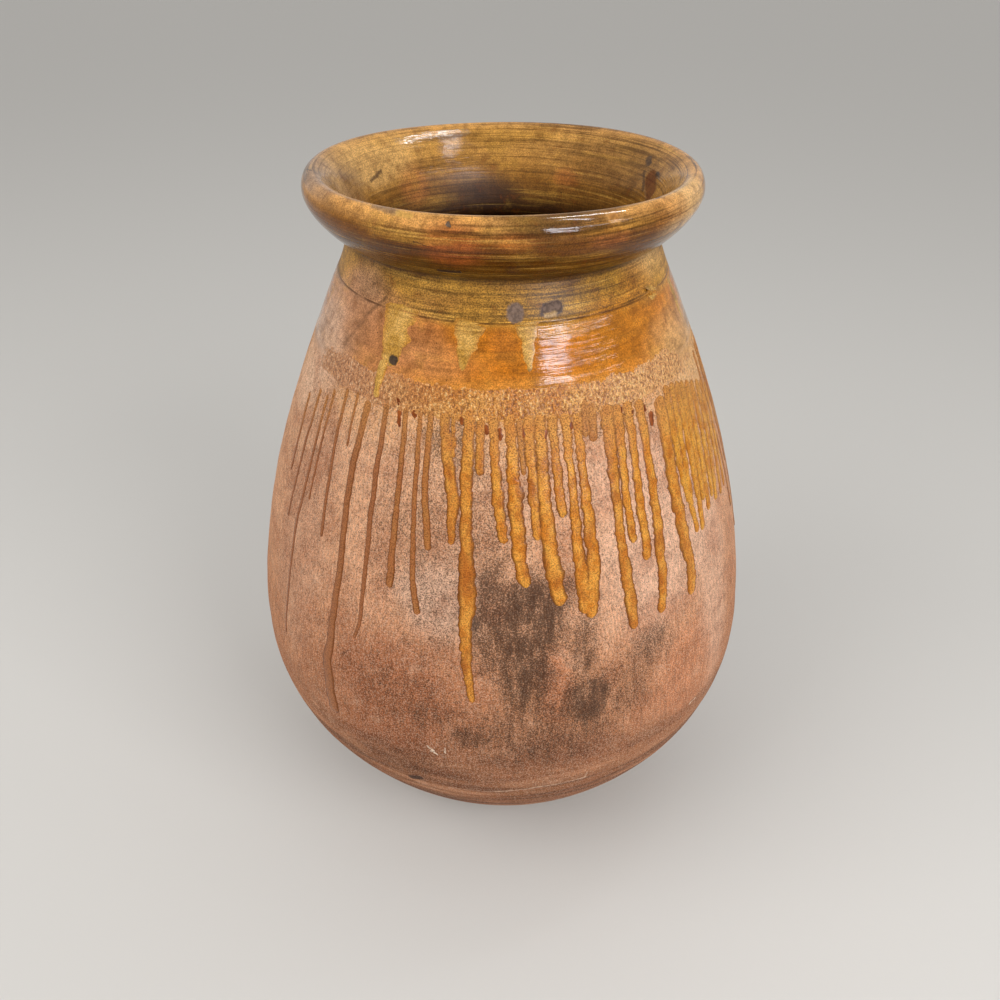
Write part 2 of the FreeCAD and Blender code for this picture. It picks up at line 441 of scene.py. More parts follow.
class Beads:
    """Gathers runs of glaze as closed beads in one mesh."""

    ACROSS = np.array([-1, -0.93, -0.72, -0.38, 0, 0.38, 0.72, 0.93, 1])
    AROUND = len(ACROSS) + 2
    DEPTH_UNDER = 0.6 * MM
    EDGE_TUCK = 0.15 * MM
    LEAST_RISE = 0.38 * MM
    RISE_PER_WIDTH = 0.042
    SWELL_AT_TIP = 0.35
    WANDER = 0.9 * MM
    WANDER_SIZE = 22 * MM
    WAVER = 0.26
    WAVER_SIZE = 11 * MM
    TOOTH = 1.7 * MM
    TOOTH_SIZE = 3.2 * MM
    BROWN_IS_SMOOTHER = 0.6

    def __init__(self, step):
        self.step = step
        self.points = []
        self.faces = []
        self.numbers = {"edge": [], "down": [], "brown": []}

    def flow(self, turns, heights, widths, brown=0.0, thickness=1.0, seed=0, blunt=0.4):
        """Lay one bead from its first place to its last, given in metres and radians."""
        lengths = np.hypot(np.diff(turns) * BELLY_RADIUS, np.diff(heights))
        measured = np.concatenate([[0], np.cumsum(lengths)])
        total = measured[-1]
        count = max(int(total / self.step), 6)
        way = np.linspace(0, total, count + 1)
        wander = self.WANDER * drift(seed * 9.7, way / self.WANDER_SIZE, 0)
        turn = smoothed(np.interp(way, measured, turns)) + wander / BELLY_RADIUS
        height = smoothed(np.interp(way, measured, heights))
        width = smoothed(np.interp(way, np.linspace(0, total, len(widths)), widths))
        loose = 1 - self.BROWN_IS_SMOOTHER * max(brown, 0)
        tip = np.clip((total - way) / (0.55 * widths[-1] + 1e-6), 0, 1)
        start = np.clip(way / (blunt * widths[0]), 0, 1)
        close = np.sqrt(1 - (1 - tip) ** 2) * np.sqrt(1 - (1 - start) ** 2)
        near_tip = smooth_step(way, total - 2.5 * widths[-1], total - 0.8 * widths[-1])
        rise = thickness * (self.LEAST_RISE + self.RISE_PER_WIDTH * width) * close
        rise *= 1 + self.SWELL_AT_TIP * near_tip
        ragged = {}
        tooth = {}
        for end, waver_side, tooth_side in ((-1, 4.1, 2.7), (1, 9.2, 6.4)):
            waver = drift(seed * 5.3, way / self.WAVER_SIZE, waver_side)
            ragged[end] = 1 + self.WAVER * loose * waver
            nibble = drift(seed * 3.9, way / self.TOOTH_SIZE, tooth_side)
            tooth[end] = self.TOOTH * loose * close * nibble

        places, normals = zip(*(outside_at(t, z) for t, z in zip(turn, height)))
        first = len(self.points)
        for step, (place, normal) in enumerate(zip(places, normals)):
            along = (places[min(step + 1, count)] - places[max(step - 1, 0)]).normalized()
            side = normal.cross(along).normalized()
            half = width[step] / 2 * max(close[step], 0.04)
            across_axis = 2 * math.hypot(place.x, place.y)
            for share in self.ACROSS:
                end = -1 if share < 0 else 1
                reach = half * ragged[end][step] + tooth[end][step]
                sag = (half * share) ** 2 / across_axis
                lift = rise[step] * (1 - share * share) ** 0.6 - sag
                lift -= self.EDGE_TUCK if abs(share) == 1 else 0
                self.points.append(place + side * (reach * share) + normal * lift)
            for share in (1, -1):
                under = self.DEPTH_UNDER + half ** 2 / across_axis
                self.points.append(place + side * (half * share * 0.9) - normal * under)
            self.numbers["edge"] += [*abs(self.ACROSS), 1, 1]
            self.numbers["down"] += [way[step]] * self.AROUND
            self.numbers["brown"] += [brown] * self.AROUND
        self.skin(first, count)

    def skin(self, first, count):
        """Join the rings of points of one bead, from its first point on, and close its ends."""
        for step in range(count):
            low = first + step * self.AROUND
            for corner in range(self.AROUND):
                following = (corner + 1) % self.AROUND
                self.faces.append((low + corner, low + corner + self.AROUND,
                                   low + following + self.AROUND, low + following))
        self.faces.append(tuple(range(first, first + self.AROUND)))
        last = first + count * self.AROUND
        self.faces.append(tuple(range(last + self.AROUND - 1, last - 1, -1)))

    def flow_as_seen(self, run, seed):
        """Lay a run that the photograph shows, from a little way up under what it leaves."""
        turns, heights = zip(*(turn_and_height(pixel) for pixel in run.path))
        heights = (heights[0] + run.tucked, *heights[1:])
        sizes = [pixel_width(pixel) for pixel in run.path]
        scale = sum(sizes) / len(sizes)
        widths = [width * scale * RUN_FULLNESS for width in run.widths]
        self.flow(turns, heights, widths, run.brown, run.thickness, seed, run.blunt)

    def finish(self, name, material):
        """Make the beads one piece."""
        piece = new_piece(name, self.points, [], self.faces)
        bpy.ops.object.shade_smooth_by_angle(angle=math.radians(50))
        for number, values in self.numbers.items():
            set_numbers(piece, number, values)
        piece.data.materials.append(material)
        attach(piece, "root")


# The dry band of crawled glaze

BAND_TOP = 0.660
BAND_FOOT = 0.626
GLAZE_FADES = (0.622, 0.660)
BAND_COLUMNS = 920
BAND_ROWS = 34
BAND_GRAIN = 1.7 * MM
BAND_KNOT = 4.5 * MM
BAND_DEPTH_UNDER = 1.2 * MM
BAND_FADES_LEFT = (math.radians(-80), math.radians(-42))
BAND_FADES_RIGHT = (math.radians(50), math.radians(72))
ROSY_STARTS = (math.radians(5), math.radians(50))
ROSY_ENDS = (math.radians(88), math.radians(120))
PALE_STARTS = (math.radians(12), math.radians(42))
PALE_ENDS = (math.radians(80), math.radians(110))


def band_presence(turn):
    """Return how thick the dry band is at a turn: 1 in front, and thin where the glaze flowed."""
    if BAND_FADES_LEFT[0] < turn < BAND_FADES_RIGHT[1]:
        left = float(smooth_step(turn, *BAND_FADES_LEFT))
        return left * (1 - float(smooth_step(turn, *BAND_FADES_RIGHT)))
    ring = Vector((math.sin(turn), math.cos(turn), 0))
    back = float(smooth_step(math.cos(turn), -0.35, -0.6))
    return back * (0.75 + 0.5 * noise.noise(ring * 3.0))


def dry_band(material):
    """Lay the ring of dry, grainy glaze between the shoulder's gloss and the bare clay."""
    upper, lower, rosy, pale = [], [], [], []
    for column in range(BAND_COLUMNS):
        turn = math.tau * column / BAND_COLUMNS - math.pi
        ring = Vector((math.sin(turn), math.cos(turn), 0))
        presence = band_presence(turn)
        rosy_here = smooth_step(-turn, *ROSY_STARTS) * (1 - smooth_step(-turn, *ROSY_ENDS))
        pale_here = smooth_step(turn, *PALE_STARTS) * (1 - smooth_step(turn, *PALE_ENDS))
        top = BAND_TOP + 5 * MM * noise.noise(ring * 7) + 3 * MM * noise.noise(ring * 45)
        foot = BAND_FOOT + 2 * MM * noise.noise(ring * 9) + 3 * MM * noise.noise(ring * 70)
        for row in range(BAND_ROWS):
            share = row / (BAND_ROWS - 1)
            place, normal = outside_at(turn, foot + (top - foot) * share)
            grain = noise.noise(place / BAND_GRAIN) + 0.6 * noise.noise(place / BAND_KNOT)
            edge = min(1, share * 9) * min(1, (1 - share) * 2.5)
            rise = (0.9 * edge - 0.35 + 0.45 * grain * edge) * presence - 0.5 * (1 - presence)
            rosy.append(float(rosy_here))
            pale.append(float(pale_here))
            upper.append(place + normal * rise * MM)
            lower.append(place - normal * BAND_DEPTH_UNDER)
    total = len(upper)
    faces = []
    for column in range(BAND_COLUMNS):
        here = column * BAND_ROWS
        beside = (column + 1) % BAND_COLUMNS * BAND_ROWS
        for row in range(BAND_ROWS - 1):
            quad = (here + row, beside + row, beside + row + 1, here + row + 1)
            faces.append(quad)
            faces.append(tuple(total + corner for corner in reversed(quad)))
        end = BAND_ROWS - 1
        faces.append((here + end, beside + end, total + beside + end, total + here + end))
        faces.append((here, total + here, total + beside, beside))
    band = new_piece("dry_band", upper + lower, [], faces)
    set_numbers(band, "rosy", rosy * 2)
    set_numbers(band, "pale", pale * 2)
    bpy.ops.object.shade_smooth()
    band.data.materials.append(material)
    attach(band, "root")


# The colours that the kiln left, with painted shade and painted sheen among them

# The jar's colours from the foot up the outside, over the lip and down the inside, with painted
# shade and painted light in them. A place inside is counted on from the top: it is as far past the
# jar's height as it is below it.
ZONES = [
    # Painted shade: the first stops darken towards the foot, where the jar turns down away from the
    # light.
    (0.00, srgb(84, 48, 24)),
    (0.10, srgb(106, 62, 31)),
    (0.20, srgb(140, 86, 50)),
    (0.28, srgb(172, 114, 78)),
    (0.36, srgb(187, 128, 89)),
    (0.45, srgb(200, 145, 108)),
    (0.58, srgb(204, 153, 116)),
    (0.62, srgb(206, 154, 108)),
    (0.645, srgb(204, 138, 62)),
    (0.67, srgb(195, 114, 22)),
    (0.700, srgb(190, 113, 24)),
    (0.709, srgb(190, 138, 54)),
    (0.735, srgb(164, 118, 46)),
    # Dark under the rim: the glaze's olive-brown, with painted shade where the rim overhangs.
    (0.743, srgb(84, 52, 10)),
    (0.765, srgb(86, 50, 10)),
    (0.786, srgb(120, 70, 8)),
    # Lighter on the rim's crown: the glaze's tan, with painted light where the crown faces up.
    (0.803, srgb(212, 154, 84)),
    (0.815, srgb(198, 146, 76)),
    # Painted shade: darker and darker down the inside, past the throat.
    (0.86, srgb(146, 98, 36)),
    (0.89, srgb(52, 29, 10)),
    (1.00, srgb(50, 29, 12)),
    (1.60, srgb(74, 48, 24)),
]


class Daub:
    """A soft patch of colour or smoke: the pixel it lies at, its size there and how strong it is."""

    def __init__(self, pixel, size, strength, colour=None):
        self.pixel = pixel
        self.size = size
        self.strength = strength
        self.colour = colour


COLOUR_DAUBS = {
    # Painted sheen on the rim's left edge, where it turns away.
    "painted_sheen_rim_left": Daub((316, 172), (46, 70), 0.8, srgb(168, 134, 104)),
    "rim_orange_wide": Daub((450, 250), (66, 30), 0.8, srgb(168, 88, 38)),
    "rim_orange_middle": Daub((515, 242), (50, 14), 0.6, srgb(188, 106, 44)),
    "rim_orange_right": Daub((612, 238), (44, 16), 0.6, srgb(186, 108, 50)),
    # Painted sheen: a golden glow along the front of the rim.
    "painted_rim_glow_right": Daub((620, 226), (80, 12), 0.5, srgb(206, 152, 64)),
    # Painted sheen on the rim's right edge, where it turns away.
    "painted_sheen_rim_right": Daub((690, 192), (50, 80), 0.6, srgb(226, 184, 124)),
    "inside_orange_left": Daub((414, 185), (26, 36), 0.5, srgb(184, 112, 56)),
    "inside_orange_right": Daub((566, 178), (24, 18), 0.5, srgb(184, 106, 50)),
    # Smoke, and painted shade deep in the mouth.
    "inside_smoke_and_shade": Daub((485, 194), (76, 34), 0.85, srgb(54, 30, 12)),
    "inside_right_brown": Daub((628, 165), (80, 50), 0.65, srgb(126, 88, 44)),
    "inside_left_pale": Daub((365, 165), (60, 44), 0.8, srgb(222, 174, 104)),
    "inside_back_yellow": Daub((500, 136), (110, 22), 0.5, srgb(170, 122, 40)),
    "inside_smears_left": Daub((352, 186), (16, 30), 0.6, srgb(112, 76, 46)),
    "neck_left_brown": Daub((366, 290), (50, 50), 0.8, srgb(160, 120, 92)),
    "neck_brown_left": Daub((436, 300), (60, 26), 0.55, srgb(132, 88, 42)),
    "neck_brown_middle": Daub((520, 286), (80, 16), 0.45, srgb(124, 84, 32)),
    "neck_yellow_spot": Daub((440, 316), (46, 12), 0.5, srgb(196, 150, 70)),
    "neck_right_olive": Daub((596, 290), (110, 36), 0.6, srgb(140, 98, 12)),
    "neck_right_orange": Daub((640, 300), (40, 30), 0.4, srgb(190, 120, 40)),
    "shoulder_left_rosy": Daub((385, 345), (110, 90), 0.8, srgb(178, 120, 78)),
    "shoulder_left_pink": Daub((338, 330), (60, 110), 0.85, srgb(178, 126, 88)),
    # Painted sheen along the shoulder's far left edge.
    "painted_sheen_shoulder_far_left": Daub((318, 350), (40, 110), 0.8, srgb(212, 172, 142)),
    "shoulder_tan": Daub((440, 362), (90, 40), 0.6, srgb(190, 128, 74)),
    "shoulder_brown_left": Daub((424, 332), (40, 30), 0.5, srgb(164, 100, 46)),
    "shoulder_brown_middle": Daub((505, 345), (36, 40), 0.5, srgb(176, 104, 38)),
    "under_collar_honey": Daub((585, 326), (130, 16), 0.5, srgb(190, 138, 60)),
    "shoulder_amber": Daub((626, 330), (90, 70), 0.8, srgb(178, 108, 24)),
    # Painted sheen along the shoulder's right edge.
    "painted_sheen_shoulder_right": Daub((688, 345), (50, 100), 0.7, srgb(216, 170, 112)),
    "pale_middle": Daub((440, 600), (90, 90), 0.85, srgb(212, 170, 142)),
    "pink_right": Daub((655, 540), (110, 190), 0.7, srgb(222, 178, 150)),
    "pink_high_middle": Daub((600, 480), (160, 110), 0.5, srgb(204, 154, 124)),
    "left_flank": Daub((300, 540), (60, 260), 0.7, srgb(180, 130, 100)),
    "red_low_left": Daub((385, 690), (190, 140), 0.72, srgb(142, 78, 44)),
    "red_low_right": Daub((690, 670), (80, 100), 0.6, srgb(196, 126, 86)),
    # Painted sheen along the belly's right edge.
    "right_edge": Daub((712, 560), (40, 260), 0.5, srgb(222, 182, 156)),
    # Browner at the foot: the clay's colour, with painted shade where the jar turns under.
    "foot_brown": Daub((500, 770), (320, 60), 0.45, srgb(108, 60, 34)),
    "orange_middle": Daub((556, 690), (34, 90), 0.7, srgb(172, 104, 66)),
}
SMOKE_DAUBS = {
    "peppered_middle": Daub((455, 560), (150, 230), 0.30),
    "middle": Daub((532, 618), (90, 100), 1.0),
    "middle_left": Daub((490, 620), (60, 130), 0.75),
    "streak_below": Daub((524, 675), (60, 100), 1.0),
    "thin_streak": Daub((584, 645), (30, 80), 0.8),
    "low_right": Daub((588, 702), (54, 60), 1.0),
    "right": Daub((652, 645), (50, 46), 0.5),
    "low_left": Daub((468, 738), (34, 30), 0.85),
    "between_runs": Daub((480, 555), (70, 90), 0.3),
    "under_band": Daub((455, 445), (60, 60), 0.45),
    "left_wash": Daub((400, 700), (140, 80), 0.22),
    "left_patch": Daub((430, 715), (70, 40), 0.4),
    # Smoke at the foot, and painted shade where the jar turns under.
    "foot": Daub((540, 735), (190, 70), 0.55),
    "foot_left": Daub((410, 765), (120, 40), 0.4),
    "right_of_middle": Daub((620, 690), (80, 80), 0.4),
}
# Where the throwing lines are fainter.
CALM_DAUBS = {
    "rim_left": Daub((318, 190), (60, 110), 0.85),
    "rim_left_front": Daub((350, 215), (70, 50), 0.5),
    "neck_left": Daub((365, 290), (80, 70), 0.85),
    "rim_right": Daub((697, 190), (44, 90), 0.6),
    "neck_right": Daub((655, 285), (40, 50), 0.6),
    "inside_left": Daub((365, 165), (70, 60), 0.6),
}
BACK_DAUBS = 34
BACK_DAUB_TURNS = (math.radians(80), math.radians(280))
BACK_DAUB_HEIGHTS = (0.08, 0.60)
BACK_DAUB_SIZES = (0.05, 0.2)
SMOKY_SHARE = 0.35
BARE_COLOURS = [srgb(196, 154, 126), srgb(214, 166, 136), srgb(180, 112, 78), srgb(190, 128, 90)]


class Paint:
    """The numbers and colours stored at the points of the jar, that its material reads."""

    BATCH = 4096

    def __init__(self, pot):
        self.pot = pot
        self.places = places_of(pot)
        normals = np.empty(self.places.size)
        pot.data.vertices.foreach_get("normal", normals)
        self.normals = normals.reshape(-1, 3)
        self.patchy = uneven(self.places, 0.05, 3) + 0.6 * uneven(self.places, 0.018, 4)
        height = self.places[:, 2]
        self.along = np.where(self.is_inside(), 2 * JAR_HEIGHT - height, height)
        stops = [stop for stop, _ in ZONES]
        along = self.along + 0.004 * self.patchy
        self.tint = np.stack([
            np.interp(along, stops, [colour[part] for _, colour in ZONES]) for part in range(3)
        ], 1)
        self.smoke = np.zeros(len(self.places))
        self.ringed = np.ones(len(self.places))

    def is_inside(self):
        """Tell which points lie on the inside of the wall."""
        lip = next(number for number, point in enumerate(section) if point.z >= JAR_HEIGHT)
        points = np.array([(point.x, point.z) for point in section])
        radius = np.hypot(self.places[:, 0], self.places[:, 1])
        nearest = np.empty(len(radius), int)
        for start in range(0, len(radius), self.BATCH):
            part = slice(start, start + self.BATCH)
            out = radius[part, None] - points[:, 0]
            up = self.places[part, 2, None] - points[:, 1]
            nearest[part] = (out ** 2 + up ** 2).argmin(1)
        return nearest > lip

    def closeness(self, place, normal, across, down):
        """Return how near each point is to a place: 1 there, and fading out past the two sizes."""
        side = UP.cross(normal).normalized()
        up = normal.cross(side)
        offset = self.places - np.array(place)
        sideways = offset @ np.array(side) / (across / 2)
        upwards = offset @ np.array(up) / (down / 2)
        reach = np.sqrt(sideways ** 2 + upwards ** 2) + 0.25 * self.patchy
        facing = smooth_step(self.normals @ np.array(normal), 0.0, 0.4)
        return (1 - smooth_step(reach, 0.45, 1.35)) * facing

    def closeness_seen(self, daub):
        """Return how near each point is to a daub, whose size is as the camera sees it."""
        place, normal = seen_at(daub.pixel)
        scale = pixel_size(place)
        side = UP.cross(normal).normalized()
        up = normal.cross(side)
        view = camera.matrix_world.to_3x3()
        across = daub.size[0] * scale / max(abs(side.dot(view.col[0])), 0.3)
        down = daub.size[1] * scale / max(abs(up.dot(view.col[1])), 0.3)
        return self.closeness(place, normal, across, down)

    def tinge(self, near, colour, strength):
        """Blend a colour in."""
        share = (near * strength)[:, None]
        self.tint = self.tint * (1 - share) + np.array(colour[:3]) * share

    def calm(self, near, strength):
        """Make the throwing lines fainter."""
        self.ringed *= 1 - near * strength

    def darken(self, near, strength):
        """Lay smoke, where there isn't more already; at the foot it is also painted shade."""
        self.smoke = np.maximum(self.smoke, near * strength)

    def store(self):
        """Store what was painted at the points of the jar."""
        colours = np.concatenate([self.tint, np.ones((len(self.tint), 1))], 1)
        layer = self.pot.data.attributes.new("tint", "FLOAT_COLOR", "POINT")
        layer.data.foreach_set("color", colours.ravel())
        band = (BAND_TOP + BAND_FOOT) / 2
        glaze = smooth_step(self.along + 0.002 * self.patchy, band - 0.012, band + 0.006)
        set_numbers(self.pot, "smoke", self.smoke)
        set_numbers(self.pot, "ringed", self.ringed)
        set_numbers(self.pot, "glaze", glaze)
        set_numbers(self.pot, "deep", smooth_step(self.along, 0.835, 0.875))
        set_numbers(self.pot, "along", self.along)


def paint_pot(pot):
    """Colour the jar as the kiln left it, with painted shade and painted sheen laid into its colours."""
    paint = Paint(pot)
    for daub in COLOUR_DAUBS.values():
        paint.tinge(paint.closeness_seen(daub), daub.colour, daub.strength)
    for daub in SMOKE_DAUBS.values():
        paint.darken(paint.closeness_seen(daub), daub.strength)
    for daub in CALM_DAUBS.values():
        paint.calm(paint.closeness_seen(daub), daub.strength)
    chance = random.Random(11)
    for _ in range(BACK_DAUBS):
        turn = chance.uniform(*BACK_DAUB_TURNS)
        height = chance.uniform(*BACK_DAUB_HEIGHTS)
        place, normal = outside_at(turn, height)
        across = chance.uniform(*BACK_DAUB_SIZES)
        near = paint.closeness(place, normal, across, chance.uniform(*BACK_DAUB_SIZES))
        if chance.random() < SMOKY_SHARE:
            paint.darken(near, chance.uniform(0.3, 0.9))
        else:
            paint.tinge(near, chance.choice(BARE_COLOURS), chance.uniform(0.3, 0.7))
    paint.store()


# Materials

class Wiring:
    """Adds nodes to one node tree, each linked to what feeds it, and returns their outputs."""

    def __init__(self, tree):
        self.tree = tree

    def add(self, kind, inputs=None, **settings):
        """Add a node and return it."""
        made = self.tree.nodes.new(kind)
        for name, value in settings.items():
            setattr(made, name, value)
        for name, value in (inputs or {}).items():
            self.feed(made.inputs[name], value)
        return made

    def feed(self, socket, value):
        """Link a socket to an output, or give it a plain value."""
        if isinstance(value, bpy.types.NodeSocket):
            self.tree.links.new(value, socket)
        else:
            socket.default_value = value

    def use(self, group, **inputs):
        """Place a node group and return its outputs."""
        made = self.add("ShaderNodeGroup", node_tree=group)
        for name, value in inputs.items():
            self.feed(made.inputs[name.replace("_", " ")], value)
        return made.outputs

    def math(self, operation, first, second=0.0, third=0.0, clamp=False):
        inputs = {0: first, 1: second, 2: third}
        return self.add("ShaderNodeMath", inputs, operation=operation, use_clamp=clamp).outputs[0]

    def product(self, *factors):
        result = factors[0]
        for factor in factors[1:]:
            result = self.math("MULTIPLY", result, factor)
        return result

    def scaled(self, value, factor, plus):
        """Return a value times a factor, plus another."""
        return self.math("MULTIPLY_ADD", value, factor, plus)

    def vector(self, operation, first, second=(0, 0, 0), scale=1.0):
        inputs = {0: first, 1: second, 3: scale}
        made = self.add("ShaderNodeVectorMath", inputs, operation=operation)
        return made.outputs[1 if operation in ("LENGTH", "DOT_PRODUCT") else 0]

    def blend(self, share, first, second):
        """Mix two colours."""
        return self.add("ShaderNodeMix", {0: share, 6: first, 7: second}, data_type="RGBA").outputs[2]

    def between(self, share, first, second):
        """Mix two numbers."""
        return self.add("ShaderNodeMix", {0: share, 2: first, 3: second}).outputs[0]

    def step(self, value, low, high, at_low=0.0, at_high=1.0):
        """Rise smoothly from one number to another as a value goes from low to high."""
        inputs = {"Value": value, "From Min": low, "From Max": high, "To Min": at_low, "To Max": at_high}
        made = self.add("ShaderNodeMapRange", inputs, interpolation_type="SMOOTHSTEP")
        return made.outputs["Result"]

    def stained(self, colour, stain, value, low, high, strength, only=None):
        """Lay a stain on a colour, stronger as a value goes from low to high, and only where told; the
        dry band's painted highlight is laid the same way.
        """
        share = self.step(value, low, high, 0.0, strength)
        if only is not None:
            share = self.product(share, only)
        return self.blend(share, colour, stain)

    def speckled(self, colour, grain, lightest, darkest):
        """Lighten and darken a colour with a fine grain."""
        return self.vector("SCALE", colour, scale=self.step(grain, 0.34, 0.66, lightest, darkest))

    def noise(self, place, scale, detail, roughness):
        inputs = {"Vector": place, "Scale": scale, "Detail": detail, "Roughness": roughness}
        return self.add("ShaderNodeTexNoise", inputs).outputs["Fac"]

    def stored(self, name, output="Fac"):
        """Return what is stored at the points of the piece under a name."""
        return self.add("ShaderNodeAttribute", attribute_name=name).outputs[output]

    def place_on_piece(self):
        """Return the place on the piece, in the piece's own coordinates."""
        return self.add("ShaderNodeTexCoord").outputs["Object"]

    def height_of(self, place):
        return self.add("ShaderNodeSeparateXYZ", {0: place}).outputs[2]


SOCKET_KINDS = {"vector": "NodeSocketVector", "number": "NodeSocketFloat"}


def new_group(name, inputs, outputs):
    """Return an empty node group with its wiring, its input node's outputs and its results."""
    group = bpy.data.node_groups.new(name, "ShaderNodeTree")
    for socket, kind in inputs.items():
        group.interface.new_socket(socket, in_out="INPUT", socket_type=SOCKET_KINDS[kind])
    for socket, kind in outputs.items():
        group.interface.new_socket(socket, in_out="OUTPUT", socket_type=SOCKET_KINDS[kind])
    wiring = Wiring(group)
    return group, wiring, wiring.add("NodeGroupInput").outputs, wiring.add("NodeGroupOutput").inputs


# The throwing lines climb by this much for each metre out from the axis, and break up this often.
OUTWARD_RINGS = 0.8
BREAKS_PER_METRE = 7.0


def throwing_lines_group():
    """Streaks that run round the jar, left by the thrower's fingers: 0.5 on average."""
    group, w, given, result = new_group(
        "throwing_lines", {"Place": "vector", "Per Metre": "number"}, {"Lines": "number"})
    apart = w.add("ShaderNodeSeparateXYZ", {0: given["Place"]}).outputs
    flat = w.add("ShaderNodeCombineXYZ", {0: apart[0], 1: apart[1]}).outputs[0]
    ringed = w.scaled(w.vector("LENGTH", flat), OUTWARD_RINGS, apart[2])
    across = w.vector("SCALE", flat, scale=BREAKS_PER_METRE)
    parts = w.add("ShaderNodeSeparateXYZ", {0: across}).outputs
    lines = w.add("ShaderNodeCombineXYZ", {
        0: parts[0], 1: parts[1], 2: w.product(ringed, given["Per Metre"])}).outputs[0]
    w.feed(result["Lines"], w.noise(lines, 1.0, 3.0, 0.62))
    return group


def grains_group():
    """Small grains: how much of each is seen and how high it stands."""
    group, w, given, result = new_group(
        "grains", {"Place": "vector", "Size": "number", "Amount": "number"},
        {"Grains": "number", "Height": "number"})
    scale = w.math("DIVIDE", 1.0, given["Size"])
    fine = w.noise(given["Place"], scale, 1.5, 0.6)
    low = w.math("SUBTRACT", 0.68, w.product(given["Amount"], 0.24))
    w.feed(result["Grains"], w.step(fine, low, w.math("ADD", low, 0.08)))
    w.feed(result["Height"], fine)
    return group


def pinholes_group():
    """Scattered dark pinholes in the glaze."""
    group, w, given, result = new_group(
        "pinholes", {"Place": "vector", "Per Metre": "number", "Radius": "number"},
        {"Holes": "number"})
    cells = w.add("ShaderNodeTexVoronoi", {"Vector": given["Place"], "Scale": given["Per Metre"]})
    chosen = w.add("ShaderNodeSeparateColor", {0: cells.outputs["Color"]}).outputs[0]
    radius = w.product(given["Radius"], w.step(chosen, 0.55, 1.0))
    w.feed(result["Holes"], w.step(cells.outputs["Distance"], radius, w.product(radius, 0.5)))
    return group


def mark_group():
    """A mark along a line from one place to another: 1 on it and 0 off it."""
    group, w, given, result = new_group(
        "mark", {"Place": "vector", "From": "vector", "To": "vector", "Radius": "number",
                 "Softness": "number"}, {"Mark": "number"})
    gone = w.vector("SUBTRACT", given["Place"], given["From"])
    way = w.vector("SUBTRACT", given["To"], given["From"])
    length_squared = w.vector("DOT_PRODUCT", way, way)
    share = w.math("DIVIDE", w.vector("DOT_PRODUCT", gone, way), length_squared, clamp=True)
    nearest = w.vector("SCALE", way, scale=share)
    gap = w.vector("LENGTH", w.vector("SUBTRACT", gone, nearest))
    wide = w.product(given["Radius"], w.math("ADD", 1.0, given["Softness"]))
    tight = w.product(given["Radius"], w.math("SUBTRACT", 1.0, given["Softness"]))
    w.feed(result["Mark"], w.step(gap, wide, tight))
    return group


# How strongly clay and glaze mirror the lamps, as the shader's Specular IOR Level.
GLOSS = 0.2
CLAY_ROUGHNESS = 0.88
DENT_ROUGHNESS = 0.75
RUN_ROUGHNESS = 0.26

# Throwing lines in each metre of height.
FINE_LINES = 460.0
RINGS = 250.0
WIDE_LINES = 75.0
LOW_RINGS = 48.0


def new_material(name, roughness, **plain):
    """Return a material with its wiring and its Principled shader's inputs."""
    material = bpy.data.materials.new(name)
    material.use_nodes = True
    w = Wiring(material.node_tree)
    shader = material.node_tree.nodes["Principled BSDF"]
    shader.inputs["Roughness"].default_value = roughness
    for socket, value in plain.items():
        shader.inputs[socket.replace("_", " ")].default_value = value
    return material, w, shader.inputs


def bumped(w, height_in_mm):
    """Return a normal that follows a height given in millimetres."""
    return w.add("ShaderNodeBump", {"Height": height_in_mm, "Distance": MM}).outputs["Normal"]


class Mark:
    """A crisp mark between two pixels: its width there, its colour, depth in mm and softness."""

    def __init__(self, start, end, width, colour, strength=1.0, depth=0.0, softness=0.3):
        self.start = start
        self.end = end
        self.width = width
        self.colour = colour
        self.strength = strength
        self.depth = depth
        self.softness = softness


